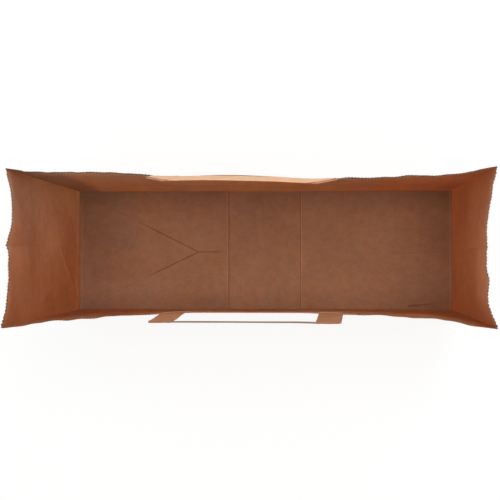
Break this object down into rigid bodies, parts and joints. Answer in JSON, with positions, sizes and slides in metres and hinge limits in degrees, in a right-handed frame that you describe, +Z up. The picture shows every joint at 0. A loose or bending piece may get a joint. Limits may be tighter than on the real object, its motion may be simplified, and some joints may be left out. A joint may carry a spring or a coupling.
{
  "type": "paper bag with handles",
  "caption": "Open block-bottom kraft paper carrier bag with folded gussets, serrated rim and flat folded paper handles glued inside.",
  "frame": {"origin": "middle of the base, on the surface that the bag stands on", "axes": "+X along the wide walls, +Y from the front wall to the back wall, +Z up out of the open mouth"},
  "size_m": [0.444, 0.144, 0.4848],
  "materials": {
    "bag_paper": "uncoated brown kraft",
    "handle_paper": "uncoated brown kraft, folded",
    "patch_paper": "uncoated brown kraft"
  },
  "bodies": {
    "root": {"bag_body": "bag_paper", "front_handle": "handle_paper", "back_handle": "handle_paper", "front_handle_patch": "patch_paper", "back_handle_patch": "patch_paper"}
  },
  "joints": []
}
